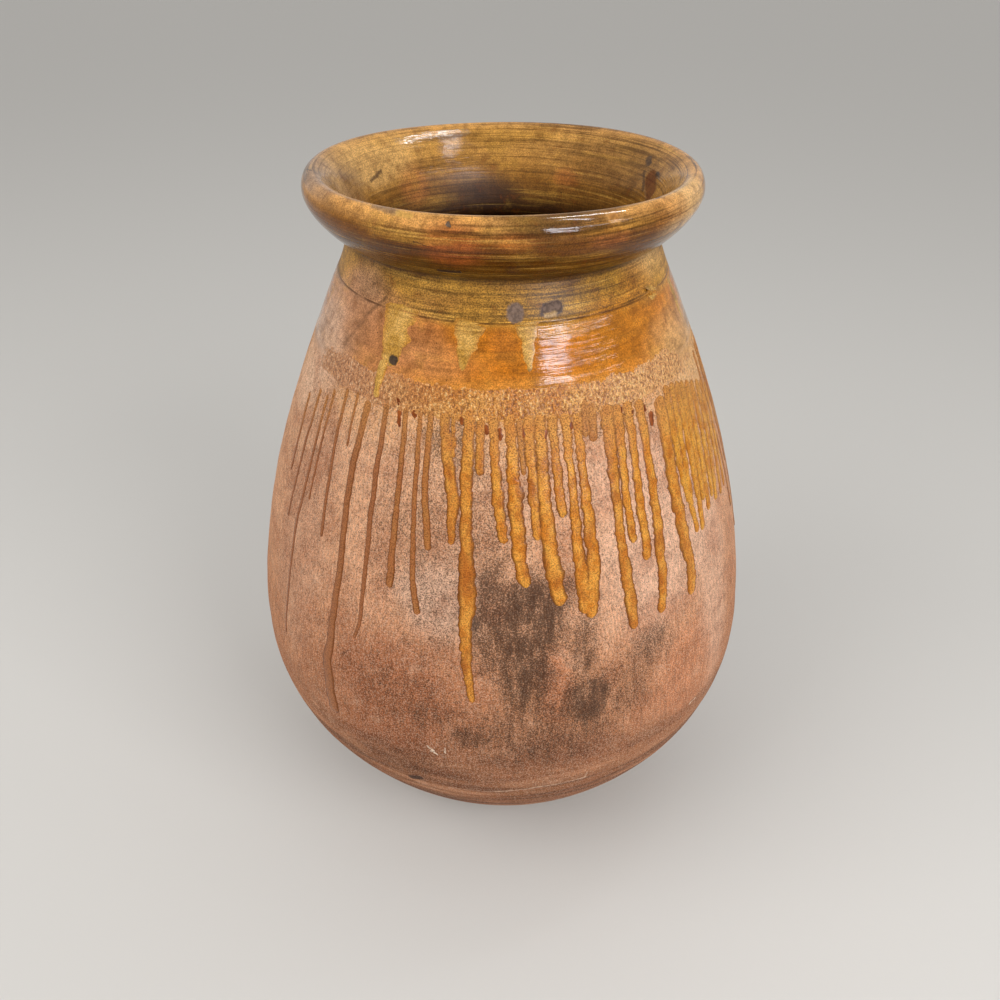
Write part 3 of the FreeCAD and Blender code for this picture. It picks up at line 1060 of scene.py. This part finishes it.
MARK_RAGGEDNESS = 4 * MM
MARK_MARGIN = 9 * MM
SCAR = srgb(128, 106, 94)
# Painted shade on the bean scar's top edge.
SCAR_SHADED_TOP = srgb(78, 56, 46)
# Near-black: painted shade in the slit and the crack on the rim, and the colour of the dash on the rim.
NEAR_BLACK = srgb(52, 30, 18)
GREY_CHIP = srgb(122, 104, 88)
SCRATCH = srgb(236, 214, 190)
WORN = srgb(216, 180, 152)
MARKS = {
    "round_scar": Mark((516, 311), (515.5, 315), 17, SCAR, 0.95, 0.3, 0.2),
    # Painted shade: the dark top edge of the bean scar, under its overhang.
    "bean_scar_shaded_top": Mark((547, 310.5), (556.5, 307.5), 15, SCAR_SHADED_TOP, 0.95, 0.0, 0.2),
    "bean_scar": Mark((547, 309.5), (557, 306.5), 9, SCAR, 0.8, 0.35, 0.35),
    "bean_scar_floor": Mark((546, 315.5), (555, 313.5), 5, srgb(206, 166, 112), 0.8, 0.0, 0.5),
    # Painted shade in the slit under the rim and in the crack on the rim.
    "slit_under_rim": Mark((440, 270.5), (459, 272), 5, NEAR_BLACK, 0.9, 0.8, 0.4),
    "crack_on_rim": Mark((413, 241.5), (432, 247.5), 1.6, NEAR_BLACK, 0.7, 0.0, 0.4),
    "grey_chip_left": Mark((375, 206), (395, 212), 8, GREY_CHIP, 0.6, 0.0, 0.5),
    "yellow_patch": Mark((398, 212.5), (410, 216), 7, srgb(214, 168, 84), 0.6, 0.0, 0.5),
    "pit_on_rim": Mark((448, 224), (448.5, 225), 5, srgb(96, 84, 72), 0.9, 0.8, 0.3),
    "ring_mark": Mark((611, 216.5), (618, 216.5), 12, srgb(210, 154, 88), 0.6, 0.0, 0.3),
    "ring_mark_middle": Mark((612, 216.5), (617, 216.5), 6, srgb(176, 118, 58), 0.6, 0.0, 0.3),
    "inner_right_chip": Mark((650, 178), (651, 192), 17, srgb(104, 54, 32), 0.75, 0.4, 0.35),
    # Painted shade on the chip's two dark edges.
    "inner_right_chip_dark": Mark((657, 174), (656, 198), 6, srgb(52, 32, 22), 0.8, 0.0, 0.5),
    "inner_right_chip_left": Mark((644, 172), (643, 190), 4, srgb(60, 38, 24), 0.6, 0.0, 0.5),
    "inner_right_pit": Mark((648.5, 159), (649, 163), 8, srgb(84, 64, 48), 0.8, 0.0, 0.3),
    "inner_left_stroke": Mark((371, 181), (381, 171), 3.5, srgb(70, 42, 24), 0.75, 0.0, 0.6),
    "dash_on_rim": Mark((305, 170), (311, 170.5), 2.0, NEAR_BLACK, 0.7, 0.0, 0.5),
    "brown_line_high": Mark((386, 298), (369, 313), 4, srgb(104, 70, 40), 0.6, 0.0, 0.7),
    "brown_line_low": Mark((369, 313), (336, 356), 5, srgb(126, 84, 54), 0.5, 0.0, 0.8),
    # Painted shade inside the hole in the tongue.
    "hole_in_tongue": Mark((393, 359.5), (394, 360.5), 10, srgb(64, 52, 44), 0.95, 0.0, 0.15),
    "grey_blemish": Mark((695, 476), (697, 483), 7, srgb(112, 92, 78), 0.7, 0.0, 0.6),
    # Painted shade in the chip by the foot.
    "chip_by_foot": Mark((412, 777), (420, 777.5), 8, srgb(62, 40, 30), 0.85, 0.6, 0.4),
    "scratch_1": Mark((427, 746), (434, 751), 2.2, SCRATCH, 0.9, 0.0, 0.5),
    "scratch_2": Mark((431, 751), (437, 754), 2.0, SCRATCH, 0.9, 0.0, 0.5),
    "scratch_3": Mark((445, 748), (445.5, 753), 1.7, SCRATCH, 0.7, 0.0, 0.5),
    "scratch_right": Mark((689, 704), (695, 698), 1.7, SCRATCH, 0.7, 0.0, 0.5),
    "worn_line_left": Mark((449, 787), (496, 791.5), 2.0, WORN, 0.6, 0.0, 0.6),
    "worn_line_middle": Mark((496, 791.5), (538, 787), 2.6, WORN, 0.9, 0.0, 0.6),
    "worn_line_right": Mark((538, 787), (585, 777), 2.6, WORN, 0.9, 0.0, 0.6),
    "worn_hook": Mark((585, 777), (587, 772), 2.0, WORN, 0.6, 0.0, 0.6),
    "dark_ring_left": Mark((457, 772), (515, 773), 1.8, srgb(92, 58, 40), 0.5, 0.0, 0.7),
    "dark_ring_right": Mark((515, 773), (575, 768), 1.8, srgb(92, 58, 40), 0.5, 0.0, 0.7),
    "tick": Mark((342, 654), (349, 650), 1.8, srgb(96, 56, 38), 0.6, 0.0, 0.5),
    "fine_line": Mark((420, 611), (458, 613.5), 1.3, srgb(110, 76, 56), 0.45, 0.0, 0.6),
    "fine_line_right": Mark((662, 590), (694, 591), 1.2, srgb(120, 84, 62), 0.35, 0.0, 0.6),
    "dark_spot": Mark((475, 622), (475.5, 627), 8, srgb(70, 52, 42), 0.6, 0.0, 0.7),
    "smoke_straight_edge": Mark((598, 683), (598, 712), 16, srgb(84, 60, 46), 0.35, 0.0, 0.35),
}


def place_marks():
    """Find where every mark lies on the jar, and how wide it is there."""
    for spot in MARKS.values():
        spot.start_place, _ = seen_at(spot.start)
        spot.end_place, _ = seen_at(spot.end)
        spot.radius = spot.width / 2 * pixel_size(spot.start_place)


def add_marks(w, mark, place, marks, colour, height):
    """Lay some marks on a colour and a height, and return both and how dented the marks leave it."""
    shaky = w.add("ShaderNodeTexNoise", {"Vector": place, "Scale": 330.0, "Detail": 3.0})
    ragged = w.vector("SUBTRACT", shaky.outputs["Color"], (0.5, 0.5, 0.5))
    mottle = w.step(w.noise(place, 300.0, 3.0, 0.6), 0.40, 0.60)
    place = w.vector("ADD", place, w.vector("SCALE", ragged, scale=MARK_RAGGEDNESS))
    dented = 0.0
    for spot in marks:
        mask = w.use(mark, Place=place, From=spot.start_place, To=spot.end_place,
                     Radius=spot.radius, Softness=spot.softness)[0]
        darker = tuple(part * 0.60 for part in spot.colour[:3]) + (1.0,)
        mottled = w.blend(mottle, darker, spot.colour)
        colour = w.blend(w.product(mask, spot.strength), colour, mottled)
        if spot.depth:
            height = w.scaled(mask, -spot.depth, height)
            dented = w.math("MAXIMUM", dented, mask)
    return colour, height, dented


RUSTY_CLAY = srgb(150, 88, 54)
PALE_CLAY = srgb(224, 176, 142)
SMOKE = srgb(78, 50, 32)
BRUSH_MARK = srgb(116, 72, 46)
CLAY_LINE = srgb(100, 60, 38)
DARK_LOW_RING = srgb(92, 50, 28)
PALE_LOW_RING = srgb(196, 138, 100)
PALE_GRIT = srgb(242, 208, 180)
SOOT_GRAIN = srgb(42, 24, 13)


def bare_clay(w, groups, place, fine):
    """Return the colour and the height of the unglazed clay: gritty, mottled and smoked."""
    patchy = w.noise(place, 24.0, 5.0, 0.62)
    clouds = w.noise(place, 80.0, 4.0, 0.6)
    brushed = w.noise(w.vector("MULTIPLY", place, (1, 1, 0.16)), 110.0, 3.0, 0.6)
    hairs = w.noise(w.vector("MULTIPLY", place, (1, 1, 0.10)), 420.0, 2.0, 0.6)
    beside = w.vector("ADD", place, (3, 1, 2))
    grit = w.use(groups["grains"], Place=beside, Size=1.5 * MM, Amount=0.72)[0]
    low_rings = w.use(groups["lines"], Place=place, Per_Metre=LOW_RINGS)[0]

    mixed = w.math("ADD", w.product(patchy, 0.7), w.scaled(brushed, 0.9, -0.3))
    smoky = w.product(w.stored("smoke"), w.step(mixed, 0.14, 0.62, 0.40, 1.0))
    low = w.step(w.height_of(place), 0.34, 0.18)
    amount = w.scaled(clouds, 0.9, w.scaled(smoky, 0.95, 0.02))
    amount = w.scaled(low, -0.30, amount)
    grains, grain_height = w.use(groups["grains"], Place=place, Size=1.35 * MM, Amount=amount)

    colour = w.stained(w.stored("tint", "Color"), RUSTY_CLAY, patchy, 0.46, 0.66, 0.45)
    colour = w.stained(colour, PALE_CLAY, patchy, 0.44, 0.28, 0.35)
    colour = w.blend(w.product(smoky, 0.76), colour, SMOKE)
    colour = w.stained(colour, BRUSH_MARK, brushed, 0.54, 0.70, 0.30)
    colour = w.stained(colour, CLAY_LINE, fine, 0.54, 0.70, 1.0, w.scaled(low, 0.28, 0.22))
    colour = w.stained(colour, DARK_LOW_RING, low_rings, 0.49, 0.61, 0.78, low)
    colour = w.stained(colour, PALE_LOW_RING, low_rings, 0.46, 0.34, 0.6, low)
    colour = w.speckled(colour, hairs, w.between(low, 1.20, 1.06), w.between(low, 0.80, 0.92))
    colour = w.speckled(colour, grain_height, 1.16, 0.86)
    colour = w.blend(w.product(grit, w.scaled(smoky, -0.14, 0.28)), colour, PALE_GRIT)
    colour = w.blend(w.product(grains, w.scaled(smoky, 0.06, 0.56)), colour, SOOT_GRAIN)
    height = w.scaled(grain_height, -0.7, w.product(fine, 0.6))
    return colour, w.scaled(brushed, 0.25, height)


OLIVE_BROWN = srgb(104, 62, 14)
HONEY = srgb(196, 146, 56)
DARK_WIDE_LINE = srgb(78, 46, 10)
PALE_WIDE_LINE = srgb(206, 156, 66)
DARK_RING = srgb(60, 34, 6)
PALE_RING = srgb(216, 168, 80)
DARK_FINE_LINE = srgb(62, 36, 8)
RED_CLOUD = srgb(146, 76, 18)
PINHOLE = srgb(44, 26, 12)
COLLAR_SHADE = srgb(74, 42, 16)


def wet_glaze(w, groups, place, fine):
    """Return the colour, height and shine of the wet glaze, with the throwing lines under it."""
    along = w.stored("along")
    blotches = w.noise(place, 21.0, 5.0, 0.64)
    clouds = w.noise(place, 95.0, 4.0, 0.62)
    wide = w.use(groups["lines"], Place=place, Per_Metre=WIDE_LINES)[0]
    higher = w.vector("ADD", place, (0, 0, 3))
    rings = w.use(groups["lines"], Place=higher, Per_Metre=RINGS)[0]
    grain_height = w.use(groups["grains"], Place=place, Size=1.25 * MM, Amount=0.6)[1]
    above = w.step(along, COLLAR_HEIGHT - 1.5 * MM, COLLAR_HEIGHT + 2.5 * MM)
    within = w.step(along, JAR_HEIGHT + 2 * MM, JAR_HEIGHT + 24 * MM)
    much = w.scaled(above, 0.68, w.scaled(within, -0.28, 0.22))
    much = w.product(much, w.stored("ringed"))

    colour = w.stained(w.stored("tint", "Color"), OLIVE_BROWN, blotches, 0.47, 0.70, 0.5)
    colour = w.stained(colour, HONEY, blotches, 0.46, 0.28, 0.30)
    colour = w.stained(colour, DARK_WIDE_LINE, wide, 0.50, 0.68, 0.5, much)
    colour = w.stained(colour, PALE_WIDE_LINE, wide, 0.44, 0.30, 0.35, much)
    colour = w.stained(colour, DARK_RING, rings, 0.51, 0.64, 0.7, much)
    colour = w.stained(colour, PALE_RING, rings, 0.43, 0.32, 0.45, much)
    colour = w.stained(colour, DARK_FINE_LINE, fine, 0.51, 0.62, 0.6, much)
    colour = w.stained(colour, RED_CLOUD, clouds, 0.54, 0.72, 0.30)
    colour = w.speckled(colour, clouds, 1.18, 0.82)
    on_neck = w.product(above, w.step(along, NECK_HEIGHT + 9 * MM, NECK_HEIGHT + 2 * MM))
    lightest = w.between(on_neck, 1.26, 1.40)
    colour = w.speckled(colour, grain_height, lightest, w.between(on_neck, 0.70, 0.54))
    holes = w.use(groups["pinholes"], Place=place, Per_Metre=120.0, Radius=0.12)[0]
    colour = w.blend(w.product(holes, 0.85), colour, PINHOLE)
    off_line = w.math("ABSOLUTE", w.math("SUBTRACT", along, COLLAR_HEIGHT))
    line = w.product(w.step(off_line, 1.4 * MM, 0.4 * MM), w.step(blotches, 0.62, 0.44, 0.1, 0.8))
    colour = w.blend(line, colour, COLLAR_SHADE)

    relief = w.product(rings, w.between(above, 0.9, 0.4))
    relief = w.scaled(wide, w.between(above, 1.3, 0.35), relief)
    relief = w.scaled(clouds, 0.10, relief)
    relief = w.scaled(grain_height, 0.03, relief)
    shine = w.math("MAXIMUM", w.step(clouds, 0.3, 0.7, 0.05, 0.13), w.product(on_neck, 0.42))
    return colour, relief, w.between(w.stored("deep"), shine, 0.55)


def surface_material(name, groups, has_clay, has_glaze, marks):
    """Return the material of one part of the jar: bare clay, wet glaze, or where one fades out."""
    material, w, shader = new_material(name, CLAY_ROUGHNESS, Specular_IOR_Level=GLOSS)
    place = w.place_on_piece()
    fine = w.use(groups["lines"], Place=place, Per_Metre=FINE_LINES)[0]
    if has_clay:
        colour, height = bare_clay(w, groups, place, fine)
        roughness = CLAY_ROUGHNESS
    if has_glaze:
        wet, wet_height, shine = wet_glaze(w, groups, place, fine)
    if has_clay and has_glaze:
        glaze = w.stored("glaze")
        colour = w.blend(glaze, colour, wet)
        height = w.between(glaze, height, wet_height)
        roughness = w.between(glaze, roughness, shine)
    elif has_glaze:
        colour, height, roughness = wet, wet_height, shine
    if marks:
        colour, height, dented = add_marks(w, groups["mark"], place, marks, colour, height)
        roughness = w.between(dented, roughness, DENT_ROUGHNESS)
    w.feed(shader["Base Color"], colour)
    w.feed(shader["Roughness"], roughness)
    w.feed(shader["Normal"], bumped(w, height))
    return material


def cover_pot(pot, groups):
    """Give each face of the jar the material of what it shows, and marks only where they lie."""
    place_marks()
    low_marks = [spot for spot in MARKS.values() if spot.start_place.z < GLAZE_FADES[0]]
    high_marks = [spot for spot in MARKS.values() if spot.start_place.z > GLAZE_FADES[0]]
    for material in (
        surface_material("bare_clay", groups, True, False, []),
        surface_material("marked_clay", groups, True, False, low_marks),
        surface_material("wet_glaze", groups, False, True, []),
        surface_material("marked_glaze", groups, False, True, high_marks),
        surface_material("glaze_fading_out", groups, True, True, []),
    ):
        pot.data.materials.append(material)
    clay, glaze, fading, marked_after = 0, 2, 4, 1
    centres = np.empty(len(pot.data.polygons) * 3)
    pot.data.polygons.foreach_get("center", centres)
    centres = centres.reshape(-1, 3)
    first_points = np.array([face.vertices[0] for face in pot.data.polygons])
    along = np.empty(len(pot.data.vertices))
    pot.data.attributes["along"].data.foreach_get("value", along)
    along = along[first_points]
    marked = np.zeros(len(centres), bool)
    for spot in MARKS.values():
        way = np.array(spot.end_place - spot.start_place)
        gone = centres - np.array(spot.start_place)
        share = np.clip(gone @ way / (way @ way), 0, 1)
        gap = np.linalg.norm(gone - share[:, None] * way, axis=1)
        marked |= gap < spot.radius * (1 + spot.softness) + MARK_MARGIN
    covers = np.where(along < GLAZE_FADES[0], clay, glaze) + marked * marked_after
    covers[(along > GLAZE_FADES[0]) & (along < GLAZE_FADES[1])] = fading
    pot.data.polygons.foreach_set("material_index", covers)
    pot.data.update()


TAN = srgb(182, 114, 44)
PALE_TAN = srgb(196, 136, 66)
BAND_ORANGE = srgb(196, 116, 34)
ROSY_TAN = srgb(184, 132, 94)
PALE_BAND = srgb(222, 170, 116)
# Painted shade in the hollows between the grains, and painted highlight on the grain tops.
BAND_GAP_SHADE = srgb(112, 58, 16)
ROSY_GAP_SHADE = srgb(120, 76, 50)
BAND_GRAIN_HIGHLIGHT = srgb(236, 194, 126)
ROSY_GRAIN_HIGHLIGHT = srgb(226, 186, 150)


def dry_glaze_material(groups):
    """The band of glaze that crawled and dried into tan grains over brown gaps, with painted highlight
    on the grain tops and painted shade in the gaps.
    """
    material, w, shader = new_material("dry_crawled_glaze", 0.30, Specular_IOR_Level=1.5 * GLOSS)
    place = w.place_on_piece()
    hanging = w.vector("MULTIPLY", place, (1, 1, 0.55))
    patchy = w.noise(place, 34.0, 4.0, 0.6)
    knots, knot_height = w.use(groups["grains"], Place=hanging, Size=2.5 * MM, Amount=0.62)
    grain_height = w.use(groups["grains"], Place=place, Size=1.3 * MM, Amount=0.6)[1]
    rosy = w.stored("rosy")
    uneven_height = w.scaled(patchy, 14 * MM, w.height_of(place))
    wet = w.step(uneven_height, BAND_TOP - 6 * MM, BAND_TOP + 9 * MM)
    colour = w.blend(w.step(patchy, 0.38, 0.62), TAN, PALE_TAN)
    colour = w.blend(w.product(wet, 0.75), colour, BAND_ORANGE)
    colour = w.blend(w.product(rosy, 0.85), colour, ROSY_TAN)
    colour = w.blend(w.product(w.stored("pale"), 0.6), colour, PALE_BAND)
    # Painted shade in the gaps between the grains.
    gaps = w.blend(rosy, BAND_GAP_SHADE, ROSY_GAP_SHADE)
    colour = w.blend(w.product(knots, 0.6), colour, gaps)
    # Painted highlight on the tops of the grains.
    grain_top_highlight = w.blend(rosy, BAND_GRAIN_HIGHLIGHT, ROSY_GRAIN_HIGHLIGHT)
    colour = w.stained(colour, grain_top_highlight, knot_height, 0.45, 0.30, 0.6)
    colour = w.speckled(colour, grain_height, 1.30, 0.64)
    w.feed(shader["Base Color"], colour)
    w.feed(shader["Normal"], bumped(w, w.scaled(knot_height, -1.8, w.product(grain_height, -0.5))))
    return material


AMBER = srgb(186, 110, 28)
PALE_AMBER = srgb(216, 152, 62)
DEEP_AMBER = srgb(156, 84, 22)
BROWN_RUN = srgb(146, 90, 54)
GOLD = srgb(186, 114, 20)
PALE_GOLD = srgb(212, 150, 52)
RUN_EDGE = srgb(104, 54, 16)
DRY_RUN = srgb(190, 130, 68)
RUN_GRAIN = srgb(112, 62, 22)
RUN_PINHOLE = srgb(84, 44, 16)
RUN_DRY_LENGTH = 0.060


def run_glaze_material(groups):
    """The amber glaze that ran down: darker at its edges, and grainy where it leaves the band."""
    material, w, shader = new_material("amber_glaze", RUN_ROUGHNESS, Specular_IOR_Level=GLOSS)
    place = w.place_on_piece()
    brown = w.stored("brown")
    patchy = w.noise(place, 70.0, 5.0, 0.66)
    blotches = w.noise(w.vector("MULTIPLY", place, (1, 1, 0.4)), 60.0, 3.0, 0.6)
    grains, grain_height = w.use(groups["grains"], Place=place, Size=1.3 * MM, Amount=0.55)
    amber = w.blend(w.step(patchy, 0.34, 0.66), AMBER, PALE_AMBER)
    amber = w.stained(amber, DEEP_AMBER, blotches, 0.50, 0.68, 0.7)
    colour = w.blend(w.math("MAXIMUM", brown, 0.0), amber, BROWN_RUN)
    golden = w.math("MULTIPLY", brown, -1.0, clamp=True)
    gold = w.blend(w.step(patchy, 0.38, 0.6), GOLD, PALE_GOLD)
    colour = w.blend(w.product(golden, 0.8), colour, gold)
    rim = w.step(w.math("ADD", w.stored("edge"), w.scaled(patchy, 0.5, -0.25)), 0.50, 0.92)
    colour = w.blend(w.product(rim, w.scaled(golden, -0.35, 0.85)), colour, RUN_EDGE)
    dry = w.step(w.stored("down"), RUN_DRY_LENGTH, 0.0)
    colour = w.blend(w.product(dry, 0.55), colour, DRY_RUN)
    colour = w.blend(w.product(grains, w.scaled(dry, 0.25, 0.30)), colour, RUN_GRAIN)
    colour = w.speckled(colour, grain_height, 1.28, 0.74)
    holes = w.use(groups["pinholes"], Place=place, Per_Metre=230.0, Radius=0.16)[0]
    colour = w.blend(w.product(holes, 0.7), colour, RUN_PINHOLE)
    w.feed(shader["Base Color"], colour)
    w.feed(shader["Roughness"], w.step(dry, 0.0, 1.0, RUN_ROUGHNESS, 0.5))
    w.feed(shader["Normal"], bumped(w, w.product(grain_height, w.scaled(dry, -0.9, -0.35))))
    return material


YELLOW = srgb(174, 128, 50)
PALE_YELLOW = srgb(208, 162, 86)
YELLOW_EDGE = srgb(186, 118, 44)
YELLOW_LINE = srgb(112, 72, 22)


def yellow_glaze_material(groups):
    """The pale-yellow glaze that ran down from the collar."""
    material, w, shader = new_material("yellow_glaze", 0.25, Specular_IOR_Level=GLOSS)
    place = w.place_on_piece()
    patchy = w.noise(place, 55.0, 5.0, 0.65)
    fine = w.use(groups["lines"], Place=place, Per_Metre=FINE_LINES)[0]
    grain_height = w.use(groups["grains"], Place=place, Size=1.25 * MM, Amount=0.5)[1]
    colour = w.blend(w.step(patchy, 0.35, 0.65), YELLOW, PALE_YELLOW)
    colour = w.stained(colour, YELLOW_EDGE, w.stored("edge"), 0.55, 1.0, 0.6)
    colour = w.stained(colour, YELLOW_LINE, fine, 0.48, 0.7, 0.5)
    colour = w.speckled(colour, grain_height, 1.3, 0.66)
    colour, _, _ = add_marks(w, groups["mark"], place, [MARKS["hole_in_tongue"]], colour, 0.0)
    w.feed(shader["Base Color"], colour)
    w.feed(shader["Normal"], bumped(w, w.scaled(patchy, 0.3, w.product(fine, 0.4))))
    return material


RED_BROWN = srgb(104, 46, 14)
PALE_RED_BROWN = srgb(150, 78, 28)
DROP_EDGE = srgb(64, 28, 14)


def dark_glaze_material():
    """The deep red-brown glaze that gathered in drops at the foot of the dry band."""
    material, w, shader = new_material("dark_drop_glaze", 0.36, Specular_IOR_Level=GLOSS)
    patchy = w.noise(w.place_on_piece(), 160.0, 4.0, 0.6)
    colour = w.blend(w.step(patchy, 0.35, 0.65), RED_BROWN, PALE_RED_BROWN)
    w.feed(shader["Base Color"], w.stained(colour, DROP_EDGE, w.stored("edge"), 0.7, 1.0, 0.6))
    return material


# The runs, the tongues and the drops, laid on the jar

BACK_RUNS_START = math.radians(74)
BACK_RUNS_END = math.radians(270)


def front_glaze_runs(material):
    """Lay the runs that the photograph shows."""
    beads = Beads(1.7 * MM)
    for number, run in enumerate(FRONT_RUNS.values()):
        beads.flow_as_seen(run, number + 1)
    beads.finish("front_glaze_runs", material)


def back_glaze_runs(material):
    """Finish the side that the photograph doesn't show with runs like those that it shows."""
    beads = Beads(2.5 * MM)
    chance = random.Random(5)
    turn = BACK_RUNS_START
    while turn < BACK_RUNS_END:
        width = chance.uniform(4, 12) * MM
        length = chance.triangular(0.03, 0.30, 0.12)
        brown = max(0.0, noise.noise(Vector((turn * 1.7, 3.3, 0)))) + chance.uniform(0, 0.25)
        top = BAND_FOOT + 4 * MM
        lean = chance.uniform(-0.012, 0.012)
        widths = [width * 0.75, width * 0.8, width * chance.uniform(0.9, 1.5)]
        turns = [turn, turn + lean, turn + lean * 1.5]
        heights = [top, top - length / 2, top - length]
        beads.flow(turns, heights, widths, min(brown, 1), seed=200 * turn)
        turn += (width / 2 + chance.uniform(1, 14) * MM + 4 * MM) / BELLY_RADIUS
    beads.finish("back_glaze_runs", material)


TONGUE_THICKNESS = 0.16
TONGUE_BLUNT = 0.05
YELLOW_TONGUES = {
    "left_tongue": Run(
        [(402, 309), (395.5, 336), (391, 354), (388, 366)], [33, 30, 26, 23, 12],
        thickness=TONGUE_THICKNESS, tucked=4 * MM, blunt=TONGUE_BLUNT),
    "left_tongue_tail": Run(
        [(385, 359), (379.5, 377), (375.5, 398)], [9, 8, 7.5, 7, 7], thickness=2.3, tucked=0),
    "middle_tongue": Run(
        [(470.5, 322), (465, 346), (462.5, 361), (462, 371)], [30, 26, 20, 11, 5],
        thickness=TONGUE_THICKNESS, tucked=2 * MM, blunt=TONGUE_BLUNT),
    "right_tongue": Run(
        [(526.5, 323), (527.5, 346), (529.3, 361), (529.5, 372)], [22, 18, 14, 8, 4],
        thickness=TONGUE_THICKNESS, tucked=2 * MM, blunt=TONGUE_BLUNT),
    "right_stub": Run(
        [(651, 287), (652, 300)], [14, 7],
        thickness=TONGUE_THICKNESS, tucked=2 * MM, blunt=TONGUE_BLUNT),
}
BACK_TONGUES = 9

# The longest of the dark drops, in pixels, and the pixel that each hangs from.
DROP_LENGTH = 15
DARK_DROPS = [
    (486, 428), (500, 431), (544, 432), (554, 420), (620, 409), (631, 411), (644, 407), (651, 414),
    (660, 403), (398, 399), (398.5, 413), (414, 409), (446.6, 424), (461, 416), (523, 428), (570, 424),
]


def yellow_tongues(material):
    """Lay the yellow tongues under the collar: those that show, and a few at the back."""
    beads = Beads(2.0 * MM)
    for number, run in enumerate(YELLOW_TONGUES.values()):
        beads.flow_as_seen(run, 50 + number)
    chance = random.Random(9)
    for number in range(BACK_TONGUES):
        turn = math.radians(75 + 24 * number + chance.uniform(-8, 8))
        length = chance.uniform(0.02, 0.085)
        width = chance.uniform(14, 34) * MM
        heights = [COLLAR_HEIGHT - 1 * MM, COLLAR_HEIGHT - length / 2, COLLAR_HEIGHT - length]
        widths = [width, width * 0.7, 6 * MM]
        beads.flow([turn] * 3, heights, widths, 0.0, TONGUE_THICKNESS, 70 + number, TONGUE_BLUNT)
    beads.finish("yellow_tongues", material)


def dark_drops(material):
    """Lay the dark drops that hang at the foot of the band."""
    beads = Beads(1.2 * MM)
    chance = random.Random(3)
    for number, (across, down) in enumerate(DARK_DROPS):
        length = DROP_LENGTH * chance.uniform(0.35, 0.95)
        path = [(across, down), (across + 0.4, down + length / 2), (across + 0.8, down + length)]
        drop = Run(path, [5.5, 4, 4], thickness=0.9, tucked=3 * MM)
        beads.flow_as_seen(drop, 90 + number)
    beads.finish("dark_drops", material)


# The floor, the lamps and the light all round

COOL = (0.86, 0.90, 1.0)
LAMPS_AIM_AT = Vector((0, 0, 0.55))
DAYLIGHT = (1.0, 0.985, 0.965, 1.0)
DAYLIGHT_STRENGTH = 0.58
FLOOR_RADIUS = 60


def lamp(name, turn, rise, distance, size, energy, colour=(1, 1, 1)):
    """Add an area lamp that lights the jar from a turn, and a rise above the horizon."""
    way = Vector((math.sin(turn) * math.cos(rise), -math.cos(turn) * math.cos(rise), math.sin(rise)))
    bpy.ops.object.light_add(type="AREA", location=LAMPS_AIM_AT + way * distance)
    made = bpy.context.object
    made.name = name
    made.data.shape = "RECTANGLE"
    made.data.size = size[0]
    made.data.size_y = size[1]
    made.data.energy = energy
    made.data.color = colour
    made.rotation_euler = (-way).to_track_quat("-Z", "Y").to_euler()
    return made


def light_studio():
    """Light the jar: four lamps that only make glints, two that only light, and daylight."""
    for glint in (
        lamp("window", math.radians(32.3), math.radians(23), 3.0, (0.86, 0.5), 50, COOL),
        lamp("side_window", math.radians(58), math.radians(25), 3.05, (1.7, 0.13), 15, COOL),
        lamp("roof_light", math.radians(110), math.radians(65), 2.7, (0.16, 1.1), 44),
        lamp("roof_light_in_front", math.radians(59), math.radians(57), 2.9, (0.14, 0.9), 20, COOL),
    ):
        glint.visible_diffuse = False
    for soft in (
        lamp("soft_right", math.radians(40), math.radians(30), 3.0, (1.6, 1.4), 46),
        lamp("soft_left", math.radians(-60), math.radians(38), 3.2, (2.4, 2.0), 42),
    ):
        soft.visible_glossy = False
    world = bpy.data.worlds.new("studio")
    bpy.context.scene.world = world
    world.use_nodes = True
    background = world.node_tree.nodes["Background"].inputs
    background["Color"].default_value = DAYLIGHT
    background["Strength"].default_value = DAYLIGHT_STRENGTH


def lay_floor():
    """Lay a plain pale floor, so wide that its edge is never seen."""
    bpy.ops.mesh.primitive_circle_add(vertices=96, radius=FLOOR_RADIUS, fill_type="NGON")
    floor = bpy.context.object
    floor.name = "floor"
    material, _, _ = new_material("pale_floor", 0.7, Base_Color=srgb(212, 210, 206))
    floor.data.materials.append(material)


camera = put_camera()
section = outside_section() + inside_section()
pot = throw_pot()
shape_by_hand(pot)
surface = BVHTree.FromObject(pot, bpy.context.evaluated_depsgraph_get())
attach(pot, "root")
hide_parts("pot")
paint_pot(pot)

groups = {
    "lines": throwing_lines_group(),
    "grains": grains_group(),
    "pinholes": pinholes_group(),
    "mark": mark_group(),
}
cover_pot(pot, groups)
dry_band(dry_glaze_material(groups))
amber = run_glaze_material(groups)
front_glaze_runs(amber)
back_glaze_runs(amber)
yellow_tongues(yellow_glaze_material(groups))
dark_drops(dark_glaze_material())

lay_floor()
light_studio()
bpy.context.scene.view_settings.view_transform = "Standard"
